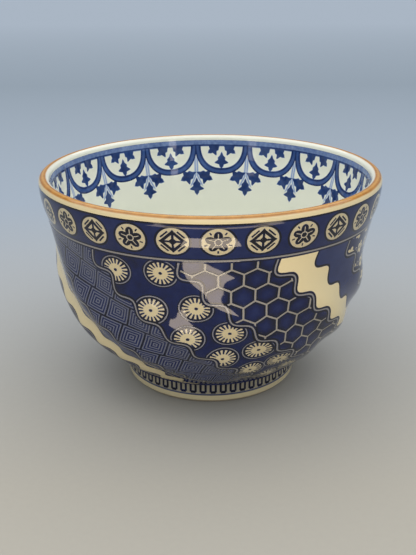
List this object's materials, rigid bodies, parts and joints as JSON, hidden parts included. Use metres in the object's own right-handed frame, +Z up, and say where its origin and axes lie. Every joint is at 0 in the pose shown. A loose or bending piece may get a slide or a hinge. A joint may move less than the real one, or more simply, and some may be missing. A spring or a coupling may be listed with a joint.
{
  "type": "teacup",
  "caption": "Round footed porcelain teacup without a handle: spiral lobed side, plain collar, banded lip and a turned foot ring.",
  "frame": {"origin": "centre of the foot's contact plane", "axes": "+Z up along the cup's axis, -Y towards the front"},
  "size_m": [0.09, 0.09, 0.058],
  "materials": {
    "porcelain": "fired white porcelain body",
    "bare_foot": "unglazed, fine and matt",
    "cobalt_under_glaze": "cobalt painting on cream under clear gloss glaze",
    "white_glaze": "clear gloss glaze on white, cobalt border",
    "cream_glaze": "clear gloss glaze on cream white",
    "iron_brown": "iron-brown gloss dressing"
  },
  "bodies": {
    "root": {"bowl": "porcelain", "foot_ring": "bare_foot", "outer_glaze": "cobalt_under_glaze", "inner_glaze": "white_glaze", "foot_glaze": "cream_glaze", "well_glaze": "cream_glaze", "lip_dressing": "iron_brown"}
  },
  "joints": []
}
